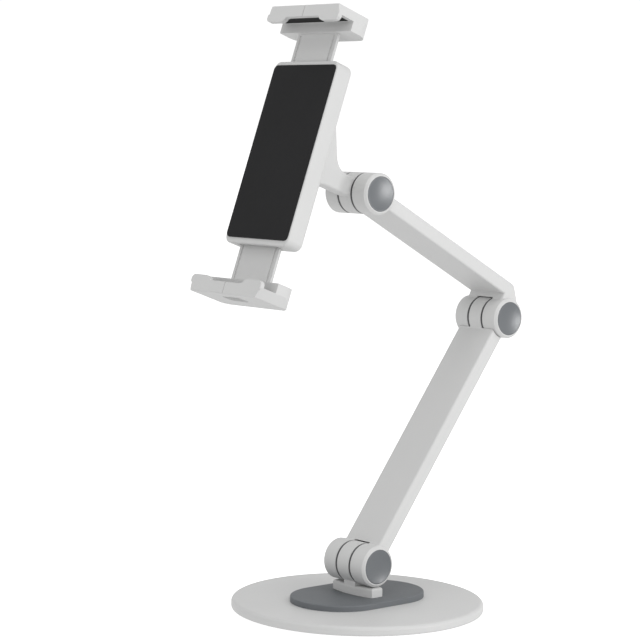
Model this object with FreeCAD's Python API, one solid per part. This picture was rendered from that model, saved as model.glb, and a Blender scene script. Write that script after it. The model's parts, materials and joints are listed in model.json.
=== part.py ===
import FreeCAD, Part
import math
import os

# Foldable tablet stand: a round base, two arms on friction hinges and a turning
# holder with two geared jaws. Millimetres, +Z up, origin
# on the table under the middle of the base disc, tablet facing -Y.

V = FreeCAD.Vector
X_AXIS = V(1, 0, 0)

# base
DISC_R, DISC_T = 80.0, 6.4
DISC_LIFT = 0.5              # disc underside above the table
PLATE_A, PLATE_B, PLATE_T = 46.5, 30.5, 3.7    # grey plate: half length, half width, height
PLATE_SCREW_Y, FOOT_SCREW_X = 33.0, 11.5
FOOT_L, FOOT_W, FOOT_H = 18.5, 7.2, 6.0        # half length, half width, height
FOOT_Z = DISC_T + PLATE_T

# hinges, all with their axes along X
HINGE_Z = 29.6               # lower hinge height
BARREL_R = 13.0
MID_W = 5.3                  # half width of the middle knuckle
WASHER_R, WASHER_T = 12.7, 1.7
FORK_IN = MID_W + 0.03 + WASHER_T
FORK_OUT = 19.3
NOTCH_R = 13.8               # clearance round a middle knuckle
SADDLE_R = 13.35             # clearance round the fork knuckles
CAP_R, CAP_T, DISH_R = 10.9, 2.2, 75.0
POCKET_R = 7.6
PIN_R = 3.0
WEB_X = 9.6                  # floor of the hardware pockets
RUN = 0.05                   # running clearance on a radius

# arms
LOWER_LEN, LOWER_LEAN = 188.3, 36.5            # pivot distance, degrees off vertical
UPPER_LEN, UPPER_OFF, UPPER_RISE = 141.3, 18.1, 28.0
ARM_W = 16.0                 # half width of both arms
LOWER_T, UPPER_T = 4.9, 4.5  # half thicknesses
HEEL_Z, HEEL_R = 3.5, 4.0    # corner of the upper arm above its elbow
LUG_Z = 9.3                  # front of the lug between the elbow barrel and the upper arm
BLEND_R, EDGE_R = 2.5, 1.3   # where an arm runs into its barrel, long edges of an arm

# holder, in its own frame: y is depth behind the tablet's glass, z up the holder
HOLDER_TILT = 19.5
NECK = 78.0                  # glass to head hinge
PAD_Y = 8.0
COVER_Y, SHELL_Y, BACK_Y = 8.8, 11.0, 22.0
HOUSE_W, HOUSE_LO, HOUSE_HI = 29.5, -56.5, 60.5
WALL = 2.2
JAW_W, JAW_Z, JAW_TOP = 33.0, 85.2, 91.8       # half width, grip face, outer face
LIP_Y0, LIP_Y1, LIP_Z, NOTCH_Z, NOTCH_W = -4.5, -1.5, 81.2, 84.2, 16.0
JAW_BACK, JAW_IN = 24.0, 79.0
SLIDE_W, SLIDE_T, SLIDE_END = 18.5, 1.8, 33.5
SLIDE_Y = {"upper": 11.3, "lower": 13.4}
MODULE, TEETH = 1.0, 14
PITCH_R = MODULE * TEETH / 2


def box(x0, x1, y0, y1, z0, z1):
    return Part.makeBox(x1 - x0, y1 - y0, z1 - z0, V(x0, y0, z0))


def cyl(axis, r, a, b, u=0.0, v=0.0):
    """Cylinder along an axis from a to b; u, v are the other two coordinates."""
    base, way = {"x": (V(a, u, v), V(1, 0, 0)), "y": (V(u, a, v), V(0, 1, 0)),
                 "z": (V(u, v, a), V(0, 0, 1))}[axis]
    return Part.makeCylinder(r, b - a, base, way)


def prism(axis, pts, a, b):
    """Flat outline (u, v) pushed along an axis from a to b."""
    put = {"x": lambda u, v: V(a, u, v), "y": lambda u, v: V(u, a, v),
           "z": lambda u, v: V(u, v, a)}[axis]
    way = {"x": V(b - a, 0, 0), "y": V(0, b - a, 0), "z": V(0, 0, b - a)}[axis]
    ring = [put(*p) for p in pts]
    return Part.Face(Part.makePolygon(ring + ring[:1])).extrude(way)


def profile(steps, a, b):
    """Side outline in y and z, pushed along x from a to b. A step is a point to go
    straight to, or a pair: a point on an arc and the arc's end."""
    start = here = steps[0]
    edges = []
    for step in steps[1:]:
        if isinstance(step[0], tuple):
            mid, end = step
            edges.append(Part.Arc(V(a, *here), V(a, *mid), V(a, *end)).toShape())
        else:
            end = step
            edges.append(Part.makeLine(V(a, *here), V(a, *end)))
        here = end
    if here != start:
        edges.append(Part.makeLine(V(a, *here), V(a, *start)))
    return Part.Face(Part.Wire(edges)).extrude(V(b - a, 0, 0))


def corner(y, z):
    """Picks the edge along x at (y, z) of a side outline."""
    def pick(e):
        p = e.Vertexes[0].Point
        return along("x")(e) and abs(p.y - y) < 1e-4 and abs(p.z - z) < 1e-4
    return pick


def soft_sides(shape, half, r):
    """Rounds the edges of both side faces of a shape that spans x = -half to half."""
    return fillet(shape, r, lambda e: at_plane("x", half)(e) or at_plane("x", -half)(e))


def fillet(shape, r, pick):
    edges = [e for e in shape.Edges if pick(e)]
    return shape.makeFillet(r, edges)


def chamfer(shape, r, pick):
    edges = [e for e in shape.Edges if pick(e)]
    return shape.makeChamfer(r, edges)


def along(axis):
    """Picks straight edges that run along an axis."""
    def pick(e):
        if not isinstance(e.Curve, Part.Line) and not isinstance(e.Curve, Part.LineSegment):
            return False
        d = e.Vertexes[1].Point - e.Vertexes[0].Point
        return abs(getattr(d, axis)) > 0.999 * d.Length
    return pick


def at_plane(axis, value):
    """Picks edges that lie wholly in a plane across an axis."""
    def pick(e):
        lo = getattr(e.BoundBox, axis.upper() + "Min")
        hi = getattr(e.BoundBox, axis.upper() + "Max")
        return abs(lo - value) < 1e-4 and abs(hi - value) < 1e-4
    return pick


def hexagon(across, a, b, axis="x"):
    r = across / math.sqrt(3)
    pts = [(r * math.cos(math.radians(60 * k)), r * math.sin(math.radians(60 * k)))
           for k in range(6)]
    return prism(axis, pts, a, b)


def frame(angle, y, z):
    """A part frame turned about X by an angle and moved to (0, y, z)."""
    return FreeCAD.Placement(V(0, y, z), FreeCAD.Rotation(X_AXIS, angle))


def elbow_point():
    a = math.radians(LOWER_LEAN)
    return LOWER_LEN * math.sin(a), HINGE_Z + LOWER_LEN * math.cos(a)


def head_point():
    y, z = elbow_point()
    a = math.radians(UPPER_RISE)
    return (y + UPPER_OFF * math.sin(a) - UPPER_LEN * math.cos(a),
            z + UPPER_OFF * math.cos(a) + UPPER_LEN * math.sin(a))


def holder_point():
    y, z = head_point()
    a = math.radians(HOLDER_TILT)
    return y - NECK * math.cos(a), z + NECK * math.sin(a)


LOWER_FRAME = frame(-LOWER_LEAN, 0, HINGE_Z)
UPPER_FRAME = frame(90 - UPPER_RISE, *elbow_point())
HOLDER_FRAME = frame(-HOLDER_TILT, *holder_point())


# ---- hinge pieces, each drawn about the X axis and then moved by (y, z)

def fork_knuckle(side):
    """One outer knuckle with a bevelled rim."""
    a, b = sorted((side * FORK_IN, side * FORK_OUT))
    return chamfer(cyl("x", BARREL_R, a, b), 1.4, at_plane("x", side * FORK_OUT))


def hardware_space():
    """Bore and pockets for the bolt, nut and springs."""
    s = cyl("x", PIN_R + RUN, -20, 20)
    for side in (-1, 1):
        s = s.fuse(cyl("x", POCKET_R, *sorted((side * WEB_X, side * 18))))
    return s


def hinge_bolt():
    b = cyl("x", PIN_R, -WEB_X, WEB_X + 7.4)
    head = fillet(cyl("x", 5.5, -WEB_X - 4.2, -WEB_X), 1.2, at_plane("x", -WEB_X - 4.2))
    b = b.fuse(head).cut(hexagon(4.0, -WEB_X - 4.3, -WEB_X - 1.6))
    return chamfer(b, 0.5, at_plane("x", WEB_X + 7.4))


def hinge_springs():
    """Two disc springs, dished towards each other."""
    out = []
    for k, (r0, r1) in enumerate(((0.0, 0.5), (0.5, 0.0))):
        x = WEB_X + 1.4 * k
        pts = [(PIN_R + 0.1, x + r1), (6.6, x + r0), (6.6, x + r0 + 0.8),
               (PIN_R + 0.1, x + r1 + 0.8)]
        face = Part.Face(Part.makePolygon([V(px, r, 0) for r, px in pts + pts[:1]]))
        out.append(face.revolve(V(0, 0, 0), X_AXIS, 360))
    return Part.makeCompound(out)


def hinge_nut():
    x = WEB_X + 2.75
    n = hexagon(10.0, x, x + 4.4).cut(cyl("x", PIN_R + 0.02, x - 1, x + 6))
    return n.common(Part.makeCone(5.2, 7.0, 1.8, V(x, 0, 0), X_AXIS).fuse(
        cyl("x", 7.0, x + 1.8, x + 4.4)))


def hinge_washers():
    w = []
    for side in (-1, 1):
        a, b = sorted((side * (MID_W + 0.03), side * FORK_IN))
        w.append(cyl("x", WASHER_R, a, b).cut(cyl("x", PIN_R + RUN, -20, 20)))
    return Part.makeCompound(w)


def hinge_caps():
    """Dished end caps with two spigots that press into the hardware pocket."""
    caps = []
    for side in (-1, 1):
        outer, inner = side * (FORK_OUT + 0.1), side * (FORK_OUT - CAP_T + 0.1)
        c = cyl("x", CAP_R, *sorted((inner, outer)))
        c = fillet(c, 0.4, at_plane("x", outer))
        c = c.cut(Part.makeSphere(DISH_R, V(outer + side * (DISH_R - 0.7), 0, 0)))
        skirt = cyl("x", POCKET_R - 0.05, *sorted((inner, side * (FORK_OUT - CAP_T - 1.2))))
        skirt = skirt.cut(cyl("x", POCKET_R - 1.2, *sorted((inner, side * 10))))
        caps.append(c.fuse(skirt).removeSplitter())
    return Part.makeCompound(caps)


def moved(shape, y=0.0, z=0.0):
    s = shape.copy()
    s.translate(V(0, y, z))
    return s


def tangent(py, pz, r):
    """Where a line from (py, pz) touches a circle of radius r, on the y > 0 side."""
    d = math.hypot(py, pz)
    a = math.atan2(py, pz) + math.acos(r / d)
    return r * math.sin(a), r * math.cos(a)


def notch():
    return cyl("x", NOTCH_R, -FORK_IN, FORK_IN)


def saddles():
    """Space for the two fork knuckles beside a middle knuckle."""
    s = cyl("x", SADDLE_R, -25, -MID_W)
    return s.fuse(cyl("x", SADDLE_R, MID_W, 25))


# ---- base and foot

def base_disc():
    d = cyl("z", DISC_R, DISC_LIFT, DISC_T)
    d = fillet(d, 2.4, at_plane("z", DISC_T))
    d = fillet(d, 1.4, at_plane("z", DISC_LIFT))
    d = d.cut(cyl("z", 76.1, 0, DISC_LIFT + 0.6))
    for x, y in screw_holes():
        d = d.cut(cyl("z", 2.1, 0, 10, x, y)).cut(cyl("z", 4.4, 0, 4.0, x, y))
    return d


def screw_holes():
    """Two screws into the grey plate and two through it into the foot."""
    return [(0, -PLATE_SCREW_Y), (0, PLATE_SCREW_Y), (-FOOT_SCREW_X, 0), (FOOT_SCREW_X, 0)]


def base_pad():
    """Non-slip sheet under the whole disc; it covers the screws."""
    return fillet(cyl("z", 76.0, 0, DISC_LIFT + 0.6), 0.3, at_plane("z", 0))


def base_plate():
    """Grey stadium-shaped plate with full-round ends."""
    p = box(-PLATE_B, PLATE_B, -PLATE_A + PLATE_B, PLATE_A - PLATE_B, DISC_T, FOOT_Z)
    for side in (-1, 1):
        p = p.fuse(cyl("z", PLATE_B, DISC_T, FOOT_Z, 0, side * (PLATE_A - PLATE_B)))
    p = fillet(p.removeSplitter(), 0.8, at_plane("z", FOOT_Z))
    for x, y in screw_holes():
        reach = DISC_T + 2.6 if y else 20
        p = p.cut(cyl("z", 1.5 if y else 2.1, DISC_T - 1, reach, x, y))
    return p


def low_screw(x, y, r, tip):
    """Button-head screw driven from under the disc, with its washer seat at z = 4."""
    head = fillet(cyl("z", 3.8, 1.4, 3.5, x, y), 0.8, at_plane("z", 1.4))
    socket = hexagon(2.5, 1.3, 2.6, "z")
    socket.translate(V(x, y, 0))
    return head.cut(socket).fuse(cyl("z", r, 3.5, tip, x, y))


def plate_screws():
    return Part.makeCompound([low_screw(x, y, 1.5, DISC_T + 2.4)
                              for x, y in screw_holes() if y])


def foot_screws():
    return Part.makeCompound([low_screw(x, y, 2.0, FOOT_Z + 4.4)
                              for x, y in screw_holes() if x])


def base_washers():
    return Part.makeCompound([cyl("z", 4.2, 3.5, 4.0, x, y).cut(cyl("z", 2.05, 0, 9, x, y))
                              for x, y in screw_holes()])


def foot_outline():
    """Lens-shaped plan with flat ends."""
    sag = FOOT_W - 4.4
    r = (FOOT_L ** 2 + sag ** 2) / (2 * sag)
    lens = cyl("z", r, FOOT_Z, FOOT_Z + FOOT_H, 0, FOOT_W - r).common(
        cyl("z", r, FOOT_Z, FOOT_Z + FOOT_H, 0, r - FOOT_W))
    return lens.common(box(-FOOT_L, FOOT_L, -20, 20, 0, 30))


def base_bracket():
    """Screwed-down foot that carries the middle knuckle of the lower hinge."""
    foot = fillet(foot_outline(), 1.6, at_plane("z", FOOT_Z + FOOT_H))
    w, top = FOOT_W - 0.2, FOOT_Z + FOOT_H
    neck = profile([(w, FOOT_Z + 1), (w, top - 3.2), (w - 0.6, HINGE_Z), (0.6 - w, HINGE_Z),
                    (-w, top - 3.2), (-w, FOOT_Z + 1)], -MID_W, MID_W)
    b = foot.fuse(neck).fuse(moved(cyl("x", BARREL_R, -MID_W, MID_W), 0, HINGE_Z))
    b = b.cut(moved(cyl("x", PIN_R + RUN, -20, 20), 0, HINGE_Z))
    for x, y in screw_holes():
        if x:
            b = b.cut(cyl("z", 2.0, 0, FOOT_Z + 5.0, x, y))
    return b.removeSplitter()


# ---- arms

def lower_body():
    """The flat arm with a barrel at each end, as one side outline."""
    t = LOWER_T
    z1 = math.sqrt(BARREL_R ** 2 - t ** 2)
    z2 = LOWER_LEN - z1
    body = profile([(t, z1), (t, z2), ((0, LOWER_LEN + BARREL_R), (-t, z2)), (-t, z1),
                    ((0, -BARREL_R), (t, z1))], -ARM_W, ARM_W)
    for y in (-t, t):
        for z in (z1, z2):
            body = fillet(body, BLEND_R, corner(y, z))
    return soft_sides(body, ARM_W, EDGE_R)


def lower_arm():
    a = lower_body()
    a = a.cut(moved(saddles(), 0, LOWER_LEN)).cut(notch())
    for side in (-1, 1):
        a = a.fuse(fork_knuckle(side))
    a = a.cut(hardware_space()).cut(cap_seats())
    return a.cut(moved(cyl("x", PIN_R + RUN, -20, 20), 0, LOWER_LEN)).removeSplitter()


def cap_seats():
    """Recess for a cap in each outer face."""
    depth = FORK_OUT - CAP_T + 0.1
    return cyl("x", CAP_R + 0.05, depth, 20).fuse(cyl("x", CAP_R + 0.05, -20, -depth))


def upper_body():
    """Cranked arm: the plate runs above the elbow barrel and in line with the head one."""
    low, high = UPPER_OFF - UPPER_T, UPPER_OFF + UPPER_T
    hy, hz = tangent(high, HEEL_Z, BARREL_R)
    lug_y = math.sqrt(BARREL_R ** 2 - LUG_Z ** 2)
    z2 = UPPER_LEN - math.sqrt(BARREL_R ** 2 - UPPER_T ** 2)
    body = profile([(lug_y, LUG_Z), (low, LUG_Z), (low, z2),
                    ((UPPER_OFF, UPPER_LEN + BARREL_R), (high, z2)),
                    (high, HEEL_Z), (hy, hz), ((0, -BARREL_R), (-BARREL_R, 0)),
                    ((-BARREL_R * 0.6, BARREL_R * 0.8), (lug_y, LUG_Z))], -ARM_W, ARM_W)
    body = fillet(body, HEEL_R, corner(high, HEEL_Z))
    for y in (low, high):
        body = fillet(body, BLEND_R, corner(y, z2))
    return soft_sides(body, ARM_W, EDGE_R)


def upper_arm():
    a = upper_body()
    for y, z in ((0, 0), (UPPER_OFF, UPPER_LEN)):
        a = a.cut(moved(notch(), y, z))
        for side in (-1, 1):
            a = a.fuse(moved(fork_knuckle(side), y, z))
    for y, z in ((0, 0), (UPPER_OFF, UPPER_LEN)):
        a = a.cut(moved(hardware_space(), y, z)).cut(moved(cap_seats(), y, z))
    return a.removeSplitter()


# ---- head bracket and its turning joint (holder frame)

def head_bracket():
    """Flange behind the holder, gusset and neck, and the head hinge's middle knuckle."""
    flange = box(-20, 20, 24.6, 28.6, -25, 44)
    flange = fillet(flange, 14.0, along("y"))
    flange = fillet(flange, 1.2, at_plane("y", 28.6))
    top, foot, crest = (52.0, 6.0), (40.0, -6.5), (38.0, 37.0)
    neck = profile([(26.0, -20), foot, (NECK, -6), (NECK, 6), top, crest, (26.0, 40)],
                   -MID_W, MID_W)
    neck = fillet(fillet(neck, 12.0, corner(*top)), 14.0, corner(*foot))
    neck = soft_sides(fillet(neck, 6.0, corner(*crest)), MID_W, 1.5)
    knuckle = moved(cyl("x", BARREL_R, -MID_W, MID_W), NECK, 0)
    b = flange.fuse(neck).fuse(knuckle)
    b = b.cut(moved(cyl("x", PIN_R + RUN, -20, 20), NECK, 0))
    return b.cut(cyl("y", PIN_R, 20, 42)).removeSplitter()


def turn_bolt():
    b = cyl("y", 6.0, 16.4, 19.1).fuse(cyl("y", PIN_R, 19.1, 41.5))
    return b.cut(hexagon(4.0, 16.3, 18.4, "y"))


def turn_washers():
    out = []
    for y0, y1, r in ((19.1, 19.55, 8.6), (19.55, 19.97, 9.4)):
        out.append(cyl("y", r, y0, y1).cut(cyl("y", PIN_R + 0.02, 10, 30)))
    return Part.makeCompound(out)


def turn_ring():
    """Friction ring between the flange and the holder."""
    return cyl("y", 19.0, 23.63, 24.6).cut(cyl("y", 8.0, 20, 30))


# ---- holder (holder frame)

def screw_spots():
    return [(x, z) for x in (-23.5, 23.5) for z in (HOUSE_LO + 8, HOUSE_HI - 8)]


def holder_shell():
    s = box(-HOUSE_W, HOUSE_W, SHELL_Y, BACK_Y, HOUSE_LO, HOUSE_HI)
    s = fillet(s, 5.0, along("y"))
    s = fillet(s, 3.0, at_plane("y", BACK_Y))
    w = HOUSE_W - WALL
    hollow = box(-w, w, 0, BACK_Y - 2, HOUSE_LO + WALL, HOUSE_HI - WALL)
    s = s.cut(fillet(hollow, 3.0, along("y")))
    s = s.cut(box(-SLIDE_W - 0.3, SLIDE_W + 0.3, 0, SLIDE_Y["upper"] + SLIDE_T + 0.3, 40, 70))
    s = s.cut(box(-SLIDE_W - 0.3, SLIDE_W + 0.3, 0, SLIDE_Y["lower"] + SLIDE_T + 0.3, -70, -40))
    for side in (-1, 1):
        a, b = sorted((side * (SLIDE_W + 0.3), side * (SLIDE_W + 1.7)))
        s = s.fuse(box(a, b, SHELL_Y, BACK_Y - 1, HOUSE_LO + 1, HOUSE_HI - 1))
    for x, z in screw_spots():
        post = cyl("y", 3.2, SHELL_Y, BACK_Y - 1, x, z)
        s = s.fuse(post)
    for x, z in screw_spots():
        s = s.cut(cyl("y", 1.25, 0, BACK_Y - 3, x, z))
    s = s.fuse(cyl("y", 22.0, BACK_Y - 1, 23.6))
    return s.cut(cyl("y", PIN_R + RUN, 10, 30)).removeSplitter()


def holder_cover():
    c = box(-HOUSE_W, HOUSE_W, COVER_Y, SHELL_Y, HOUSE_LO, HOUSE_HI)
    c = fillet(c, 5.0, along("y"))
    c = fillet(c, 0.8, at_plane("y", COVER_Y))
    c = c.cut(pad_block(0.05, COVER_Y - 1, COVER_Y + 0.8))
    for x, z in screw_spots():
        c = c.cut(cyl("y", 1.6, 0, 20, x, z))
        c = c.cut(Part.makeCone(2.9, 1.6, 1.3, V(x, COVER_Y + 0.8, z), V(0, 1, 0)))
    return c.fuse(cyl("y", 2.0, SHELL_Y - 0.5, 16.0)).removeSplitter()


def pad_block(grow, y0, y1):
    b = box(-28.6 - grow, 28.6 + grow, y0, y1, HOUSE_LO + 3.6 - grow, HOUSE_HI - 2.6 + grow)
    return fillet(b, 3.0, along("y"))


def holder_pad():
    """Rubber face let into the cover."""
    return fillet(pad_block(0, PAD_Y, COVER_Y + 0.8), 0.4, at_plane("y", PAD_Y))


def holder_screws():
    s = []
    for x, z in screw_spots():
        y = COVER_Y + 0.82
        head = Part.makeCone(2.8, 1.25, 1.25, V(x, y, z), V(0, 1, 0))
        head = head.cut(box(x - 1.6, x + 1.6, y - 1, y + 0.5, z - 0.3, z + 0.3))
        head = head.cut(box(x - 0.3, x + 0.3, y - 1, y + 0.5, z - 1.6, z + 1.6))
        s.append(head.fuse(cyl("y", 1.25, y + 1.25, y + 8, x, z)))
    return Part.makeCompound(s)


# ---- jaws: drawn as the upper one; the lower one is turned half round about y

def flipped(shape):
    s = shape.copy()
    s.rotate(V(0, 0, 0), V(0, 1, 0), 180)
    return s


def jaw(which):
    plan = box(-JAW_W, JAW_W, LIP_Y0, JAW_BACK, JAW_Z, JAW_TOP)
    plan = fillet(plan, 9.0, lambda e: along("z")(e) and e.Vertexes[0].Point.y > 10)
    plan = fillet(plan, 2.0, lambda e: along("z")(e) and e.Vertexes[0].Point.y < 0)
    rear = box(-JAW_W, JAW_W, PAD_Y + 0.2, JAW_BACK, JAW_IN, JAW_Z + 1)
    rear = fillet(rear, 9.0, lambda e: along("z")(e) and e.Vertexes[0].Point.y > 10)
    pts = [(-JAW_W, JAW_Z + 1), (-JAW_W, LIP_Z + 2), (-JAW_W + 1.2, LIP_Z + 0.5),
           (-JAW_W + 3, LIP_Z), (-NOTCH_W - 3, LIP_Z), (-NOTCH_W - 0.8, LIP_Z + 0.8),
           (-NOTCH_W + 0.6, NOTCH_Z - 0.4), (-NOTCH_W + 2.4, NOTCH_Z)]
    lip = prism("y", pts + [(-x, z) for x, z in reversed(pts)], LIP_Y0, LIP_Y1)
    j = plan.fuse(rear).fuse(lip).removeSplitter()
    slope = prism("y", [(JAW_W - 2.2, JAW_TOP + 1), (JAW_W - 2.2, JAW_TOP),
                        (JAW_W, JAW_TOP - 6.5), (JAW_W + 1, JAW_TOP - 6.5),
                        (JAW_W + 1, JAW_TOP + 1)], -10, JAW_BACK + 1)
    j = j.cut(slope).cut(slope.mirror(V(0, 0, 0), X_AXIS))
    j = fillet(j, 0.8, at_plane("z", JAW_TOP))
    j = j.cut(fillet(box(-9, 9, 2, 11, JAW_TOP - 2.4, JAW_TOP + 1), 3.0, along("z")))
    j = j.cut(box(-0.25, 0.25, LIP_Y0 - 1, LIP_Y0 + 0.35, NOTCH_Z - 1, JAW_TOP + 1))
    j = j.cut(box(-29.05, 29.05, LIP_Y1 + 0.3, PAD_Y - 0.2, JAW_Z - 1, JAW_Z + 1.2))
    y = SLIDE_Y[which]
    j = j.cut(box(-SLIDE_W - 0.05, SLIDE_W + 0.05, y - 0.05, y + SLIDE_T + 0.05, JAW_IN - 1, 90.05))
    for x in (-12, 12):
        j = j.cut(cyl("y", 1.5, y - 2.5, JAW_BACK + 1, x, JAW_Z))
        j = j.cut(cyl("y", 2.9, y + 7, JAW_BACK + 1, x, JAW_Z))
    return j


def jaw_grip():
    g = box(-29, 29, LIP_Y1 + 0.35, PAD_Y - 0.25, JAW_Z, JAW_Z + 1.2)
    return fillet(g, 1.0, along("z"))


def jaw_screws(which):
    s = []
    y = SLIDE_Y[which]
    for x in (-12, 12):
        head = cyl("y", 2.75, y + 7, y + 9, x, JAW_Z)
        head = head.cut(box(x - 1.8, x + 1.8, y + 8.2, y + 9.5, JAW_Z - 0.35, JAW_Z + 0.35))
        s.append(head.fuse(cyl("y", 1.5, y - 2.4, y + 7, x, JAW_Z)))
    return Part.makeCompound(s)


def rack_tooth(z):
    """One rack tooth standing out to +x from the pitch line at x = 0."""
    root, tip = -1.15 * MODULE, 0.85 * MODULE
    return [(root, z - 0.95), (tip, z - 0.22), (tip, z + 0.22), (root, z + 0.95)]


def slide(which):
    """Rack plate: a long window with teeth down its left side meshes with the pinion."""
    y = SLIDE_Y[which]
    s = box(-SLIDE_W, SLIDE_W, y, y + SLIDE_T, -SLIDE_END, 90)
    s = fillet(s, 1.5, along("y"))
    left = -PITCH_R - 1.1 * MODULE
    s = s.cut(box(left, PITCH_R + 2.4, y - 1, y + SLIDE_T + 1, -30, 31.5))
    step = math.pi * MODULE
    for k in range(-9, 9):
        z = (k + 0.5) * step
        pts = [(x - PITCH_R, v) for x, v in rack_tooth(z)]
        s = s.fuse(prism("y", pts, y, y + SLIDE_T))
    for side in (-1, 1):
        a, b = sorted((side * 14.6, side * 16.4))
        s = s.cut(box(a, b, y - 1, y + 0.5, 36, 78))
    for x in (-12, 12):
        s = s.cut(cyl("y", 1.55, y - 1, y + SLIDE_T + 1, x, JAW_Z))
    return s.removeSplitter()


def pinion():
    y0, y1 = 11.2, 15.4
    root, tip = PITCH_R - 1.2 * MODULE, PITCH_R + 0.85 * MODULE
    g = cyl("y", root, y0, y1)
    for k in range(TEETH):
        a = 2 * math.pi * k / TEETH
        flank = [(root - 0.5, -0.95), (PITCH_R, -0.55), (tip, -0.22),
                 (tip, 0.22), (PITCH_R, 0.55), (root - 0.5, 0.95)]
        pts = [(r * math.cos(a) - t * math.sin(a), r * math.sin(a) + t * math.cos(a))
               for r, t in flank]
        g = g.fuse(prism("y", pts, y0, y1))
    return g.cut(cyl("y", 2.05, y0 - 1, y1 + 1)).removeSplitter()


def place(shape, where):
    s = shape.copy()
    s.Placement = where.multiply(s.Placement)
    return s


def hinge_nodes(prefix, where, y=0.0, z=0.0):
    made = {"bolt": hinge_bolt(), "springs": hinge_springs(), "nut": hinge_nut(),
            "washers": hinge_washers(), "caps": hinge_caps()}
    return {f"{prefix}_{n}": place(moved(s, y, z), where) for n, s in made.items()}


def all_nodes():
    nodes = {"base_disc": base_disc(), "base_pad": base_pad(), "base_plate": base_plate(),
             "base_plate_screws": plate_screws(), "base_foot_screws": foot_screws(),
             "base_washers": base_washers(), "base_bracket": base_bracket(),
             "lower_arm": place(lower_arm(), LOWER_FRAME),
             "upper_arm": place(upper_arm(), UPPER_FRAME)}
    nodes.update(hinge_nodes("lower_hinge", LOWER_FRAME))
    nodes.update(hinge_nodes("elbow", UPPER_FRAME))
    nodes.update(hinge_nodes("head_hinge", UPPER_FRAME, UPPER_OFF, UPPER_LEN))
    held = {"head_bracket": head_bracket(), "turn_bolt": turn_bolt(),
            "turn_washers": turn_washers(), "turn_ring": turn_ring(),
            "holder_shell": holder_shell(), "holder_cover": holder_cover(),
            "holder_pad": holder_pad(), "holder_screws": holder_screws(),
            "jaw_pinion": pinion()}
    for which, put in (("upper", lambda s: s), ("lower", flipped)):
        held[f"{which}_jaw"] = put(jaw(which))
        held[f"{which}_jaw_grip"] = put(jaw_grip())
        held[f"{which}_slide"] = put(slide(which))
        held[f"{which}_jaw_screws"] = put(jaw_screws(which))
    nodes.update({n: place(s, HOLDER_FRAME) for n, s in held.items()})
    return nodes


os.makedirs("parts", exist_ok=True)
for name, shape in all_nodes().items():
    bad = [s for s in shape.Solids if not s.isValid() or s.Volume <= 0]
    print(name, len(shape.Solids), "solids", round(shape.Volume), "mm3", "BAD" if bad else "")
    shape.exportStep(f"parts/{name}.step")
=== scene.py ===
import bpy
import json
import math
from mathutils import Matrix, Vector

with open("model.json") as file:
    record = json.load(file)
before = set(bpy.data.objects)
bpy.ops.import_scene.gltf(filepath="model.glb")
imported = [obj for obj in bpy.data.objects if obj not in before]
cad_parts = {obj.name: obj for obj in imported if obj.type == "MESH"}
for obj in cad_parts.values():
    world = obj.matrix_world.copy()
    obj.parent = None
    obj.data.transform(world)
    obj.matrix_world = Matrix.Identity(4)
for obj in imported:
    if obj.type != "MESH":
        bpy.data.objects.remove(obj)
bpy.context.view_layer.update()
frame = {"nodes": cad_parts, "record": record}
nodes = frame["nodes"]

# ---- colours (linear), sizes in metres, light power in watts

COAT_COLOURS = (0.61, 0.612, 0.61), (0.655, 0.655, 0.65)
MOULDED_COLOURS = (0.60, 0.602, 0.60), (0.655, 0.655, 0.65)
GREY_COLOURS = (0.125, 0.135, 0.145), (0.15, 0.16, 0.17)
NYLON_COLOURS = (0.05, 0.05, 0.054), (0.075, 0.075, 0.08)
RUBBER_COLOURS = (0.006, 0.006, 0.0065), (0.012, 0.012, 0.013)
ZINC_COLOURS = (0.50, 0.51, 0.53), (0.60, 0.60, 0.59)
NOISE_LOW, NOISE_HIGH = 0.3, 0.7      # the part of a noise's range that sets roughness

FLOOR_HALF = 30.0
FLOOR_WHITE = (0.9, 0.9, 0.9, 1)
FLOOR_GLOW = 0.6

# name, place, aim, width and height, power
LIGHTS = [
    ("key_right", (1.6, 0.1, 1.1), (0, 0, 0.2), (1.2, 1.2), 6.5),
    ("rim_low", (1.53, 1.0, 0.12), (0, 0.05, 0.12), (0.45, 0.3), 6),
    ("top", (0.2, -0.2, 2.0), (0, 0, 0.1), (1.4, 1.4), 11),
]

# brightness of the sky by height: 0 straight down, 0.5 the horizon, 1 straight up
SKY_STOPS = [(0.0, 0.87), (0.46, 0.94), (0.49, 1.05), (0.54, 1.05), (0.62, 0.63), (1.0, 0.60)]

CAMERA_PLACE = (0.9972, -0.8995, 0.3030)
CAMERA_AZIMUTH, CAMERA_ELEVATION, CAMERA_ROLL = 49.09, 5.10, 1.0
CAMERA_LENS, CAMERA_SENSOR = 120.83, 36.0


# ---- shader helper

def fill(tree, socket, value):
    """Links another node's output to a socket, or sets a constant on it."""
    if isinstance(value, bpy.types.NodeSocket):
        tree.links.new(value, socket)
    else:
        socket.default_value = value


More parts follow.
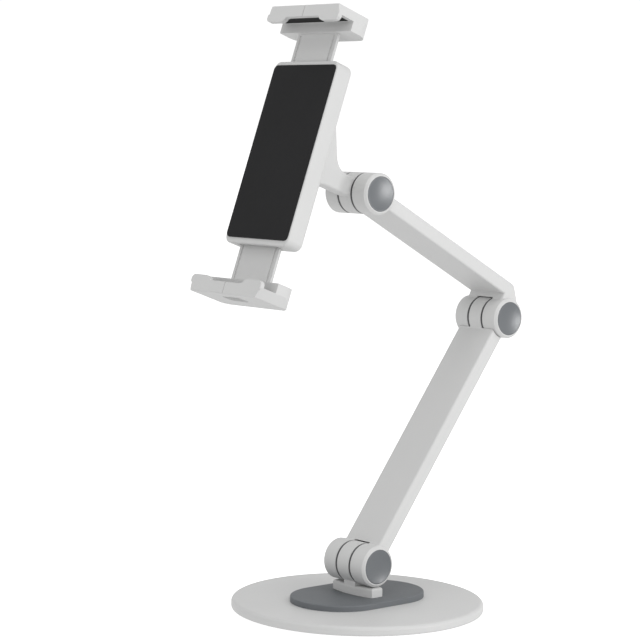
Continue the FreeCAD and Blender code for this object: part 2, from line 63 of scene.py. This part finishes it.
class Shader:
    """A material being built: adds nodes, links them and sets values in one call."""

    def __init__(self, name):
        self.material = bpy.data.materials.new(name)
        self.material.use_nodes = True
        self.tree = self.material.node_tree
        self.bsdf = self.tree.nodes["Principled BSDF"]

    def add(self, kind, **values):
        node = self.tree.nodes.new(kind)
        for key, value in values.items():
            fill(self.tree, node.inputs[key.replace("_", " ")], value)
        return node

    def point(self):
        return self.add("ShaderNodeTexCoord").outputs["Object"]

    def noise(self, scale, detail=3.0, rough=0.55, at=None):
        """Noise with its scale per metre of the object."""
        return self.add("ShaderNodeTexNoise", Vector=at or self.point(), Scale=scale,
                        Detail=detail, Roughness=rough).outputs["Fac"]

    def spread(self, noise, low, high):
        """Turns a noise into a value from low to high."""
        return self.add("ShaderNodeMapRange", Value=noise, From_Min=NOISE_LOW,
                        From_Max=NOISE_HIGH, To_Min=low, To_Max=high).outputs["Result"]

    def tint(self, noise, colours):
        """Mixes a dark and a light colour by a noise."""
        node = self.add("ShaderNodeValToRGB", Fac=noise)
        for element, colour in zip(node.color_ramp.elements, colours):
            element.color = (*colour, 1)
        return node.outputs["Color"]

    def bump(self, height, distance, strength, normal=None):
        """Bump with its depth in metres, on top of another bump if one is given."""
        node = self.add("ShaderNodeBump", Height=height, Distance=distance, Strength=strength)
        if normal:
            fill(self.tree, node.inputs["Normal"], normal)
        return node.outputs["Normal"]

    def finish(self, **values):
        for key, value in values.items():
            fill(self.tree, self.bsdf.inputs[key.replace("_", " ")], value)
        return self.material


# ---- materials

def white_paint():
    """Powder coat: slow orange peel and a fine dust of pigment."""
    m = Shader("powder_coat_white")
    peel = m.noise(520, 2.0, 0.5)
    grain = m.noise(5200, 2.0, 0.6)
    cloud = m.noise(14, 3.0, 0.6)
    normal = m.bump(peel, 0.00009, 0.55)
    normal = m.bump(grain, 0.00002, 0.5, normal)
    return m.finish(Base_Color=m.tint(cloud, COAT_COLOURS),
                    Roughness=m.spread(m.noise(900), 0.40, 0.52),
                    Specular_IOR_Level=0.45, Normal=normal)


def white_plastic():
    """Moulded ABS with a fine spark-eroded texture."""
    m = Shader("moulded_plastic_white")
    grain = m.noise(3400, 3.0, 0.65)
    wave = m.noise(60, 2.0, 0.5)
    cloud = m.noise(22, 3.0, 0.6)
    normal = m.bump(wave, 0.0001, 0.25)
    normal = m.bump(grain, 0.000035, 0.6, normal)
    return m.finish(Base_Color=m.tint(cloud, MOULDED_COLOURS),
                    Roughness=m.spread(grain, 0.42, 0.56),
                    Specular_IOR_Level=0.45, Normal=normal)


def grey_plastic(name="moulded_plastic_grey", depth=0.00006, smooth=0.5, rough=0.68):
    """Blue-grey moulding with a fine leathery grain."""
    m = Shader(name)
    grain = m.noise(3000, 4.0, 0.7)
    normal = m.bump(grain, depth, 0.8)
    cloud = m.noise(30, 3.0, 0.6)
    return m.finish(Base_Color=m.tint(cloud, GREY_COLOURS),
                    Roughness=m.spread(grain, smooth, rough),
                    Specular_IOR_Level=0.5, Normal=normal)


def cap_plastic():
    """The same plastic from a polished mould, so that the dished caps catch the light."""
    return grey_plastic("satin_plastic_grey", depth=0.00002, smooth=0.20, rough=0.28)


def dark_nylon():
    """Friction washers: dark nylon with a fine grain."""
    m = Shader("nylon_dark")
    grain = m.noise(4000, 2.0, 0.6)
    return m.finish(Base_Color=m.tint(m.noise(80), NYLON_COLOURS),
                    Roughness=m.spread(grain, 0.4, 0.55),
                    Normal=m.bump(grain, 0.00003, 0.5))


def black_rubber():
    """Silicone with a fine matte grain."""
    m = Shader("silicone_black")
    grain = m.noise(2600, 4.0, 0.7)
    cloud = m.noise(26, 4.0, 0.6)
    normal = m.bump(m.noise(240, 2.0), 0.0001, 0.3)
    normal = m.bump(grain, 0.00008, 0.8, normal)
    return m.finish(Base_Color=m.tint(cloud, RUBBER_COLOURS),
                    Roughness=m.spread(grain, 0.62, 0.8),
                    Specular_IOR_Level=0.3, Normal=normal)


def steel():
    """Bright zinc plate: slight blue-grey mottling and fine drawn lines along x."""
    m = Shader("zinc_plated_steel")
    line = m.add("ShaderNodeMapping", Vector=m.point(), Scale=(1, 14, 14)).outputs["Vector"]
    drawn = m.noise(900, 2.0, 0.5, line)
    return m.finish(Base_Color=m.tint(m.noise(160), ZINC_COLOURS),
                    Metallic=1.0, Roughness=m.spread(drawn, 0.24, 0.4),
                    Normal=m.bump(drawn, 0.00002, 0.5))


makers = [white_paint, white_plastic, grey_plastic, dark_nylon, black_rubber, steel]
finishes = {make.__name__: make() for make in makers}
cap_finish = cap_plastic()
slots = {part["node"]: part["material_slot"] for part in frame["record"]["subparts"]}

for name, obj in nodes.items():
    obj.data.materials.clear()
    is_cap = name.endswith("_caps")
    obj.data.materials.append(cap_finish if is_cap else finishes[slots[name]])


# ---- floor, light and camera

def floor():
    """White table top that glows enough to look white, and doesn't light the stand."""
    s = FLOOR_HALF
    mesh = bpy.data.meshes.new("floor")
    mesh.from_pydata([(-s, -s, 0), (s, -s, 0), (s, s, 0), (-s, s, 0)], [], [(0, 1, 2, 3)])
    obj = bpy.data.objects.new("floor", mesh)
    bpy.context.scene.collection.objects.link(obj)
    mesh.materials.append(Shader("floor_white").finish(
        Base_Color=FLOOR_WHITE, Roughness=0.9, Emission_Color=(1, 1, 1, 1),
        Emission_Strength=FLOOR_GLOW, Specular_IOR_Level=0.1))
    obj.visible_diffuse = False
    obj.visible_glossy = False


def area(name, place, aim, size, watts):
    data = bpy.data.lights.new(name, "AREA")
    data.shape = "RECTANGLE"
    data.size, data.size_y = size
    data.energy = watts
    obj = bpy.data.objects.new(name, data)
    obj.location = place
    obj.rotation_euler = (Vector(aim) - Vector(place)).to_track_quat("-Z", "Y").to_euler()
    bpy.context.scene.collection.objects.link(obj)


def sky():
    """Soft studio light, brightest round the horizon."""
    world = bpy.data.worlds.new("studio")
    bpy.context.scene.world = world
    world.use_nodes = True
    tree = world.node_tree
    direction = tree.nodes.new("ShaderNodeTexCoord").outputs["Generated"]
    split = tree.nodes.new("ShaderNodeSeparateXYZ")
    height = tree.nodes.new("ShaderNodeMapRange")
    ramp = tree.nodes.new("ShaderNodeValToRGB")
    background = tree.nodes["Background"]
    fill(tree, split.inputs[0], direction)
    fill(tree, height.inputs["From Min"], -1.0)
    fill(tree, height.inputs["Value"], split.outputs["Z"])
    fill(tree, ramp.inputs["Fac"], height.outputs["Result"])
    fill(tree, background.inputs["Color"], ramp.outputs["Color"])
    fill(tree, background.inputs["Strength"], 1.0)
    elements = ramp.color_ramp.elements      # a new ramp already has its two ends
    for at, _ in SKY_STOPS[1:-1]:
        elements.new(at)
    for element, (at, value) in zip(elements, SKY_STOPS):
        element.position = at
        element.color = (value, value, value, 1)


def camera():
    az, el, roll = (math.radians(a) for a in
                    (CAMERA_AZIMUTH, CAMERA_ELEVATION, CAMERA_ROLL))
    back = Vector((math.sin(az) * math.cos(el), -math.cos(az) * math.cos(el), math.sin(el)))
    right = (-back).cross(Vector((0, 0, 1))).normalized()
    up = right.cross(-back)
    x = right * math.cos(roll) + up * math.sin(roll)
    y = -right * math.sin(roll) + up * math.cos(roll)
    data = bpy.data.cameras.new("camera")
    data.lens, data.sensor_width, data.sensor_fit = CAMERA_LENS, CAMERA_SENSOR, "HORIZONTAL"
    data.clip_start, data.clip_end = 0.05, 100
    obj = bpy.data.objects.new("camera", data)
    turn = Matrix((x, y, back)).transposed().to_4x4()
    obj.matrix_world = Matrix.Translation(CAMERA_PLACE) @ turn
    bpy.context.scene.collection.objects.link(obj)
    bpy.context.scene.camera = obj


floor()
sky()
for light in LIGHTS:
    area(*light)
camera()
bpy.context.scene.view_settings.view_transform = "Standard"
bpy.context.scene.view_settings.look = "None"
